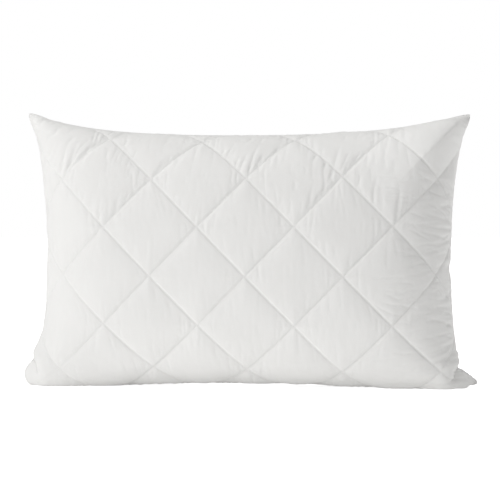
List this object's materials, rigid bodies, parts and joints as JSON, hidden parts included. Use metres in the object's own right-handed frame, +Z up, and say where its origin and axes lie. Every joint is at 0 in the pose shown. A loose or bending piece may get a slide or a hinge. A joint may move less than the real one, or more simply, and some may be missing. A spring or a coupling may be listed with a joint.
{
  "type": "quilted bed pillow",
  "caption": "Plump rectangular bed pillow standing on its long edge, with a diamond-quilted fabric case, eared corners and a plain sewn perimeter seam.",
  "frame": {"origin": "on the surface the pillow stands on, under the middle of its bounding box", "axes": "+X along the pillow's length, +Y through its thickness from the front panel to the back panel, +Z up"},
  "size_m": [0.742, 0.2192, 0.452],
  "materials": {
    "face_fabric": "smooth fine plain weave, white, very faintly warm, soft sheen",
    "wadding": "lofted white polyester wadding, matte",
    "lining": "thin white non-woven, matte",
    "fibre_fill": "loose white hollow polyester fibre, matte",
    "thread": "white polyester sewing thread, slightly shiny",
    "label": "blank white satin tape"
  },
  "bodies": {
    "root": {"front_face_fabric": "face_fabric", "front_wadding": "wadding", "front_lining": "lining", "front_quilting_thread": "thread", "back_face_fabric": "face_fabric", "back_wadding": "wadding", "back_lining": "lining", "back_quilting_thread": "thread", "fibre_fill": "fibre_fill", "perimeter_seam_thread": "thread", "care_label": "label"}
  },
  "joints": []
}
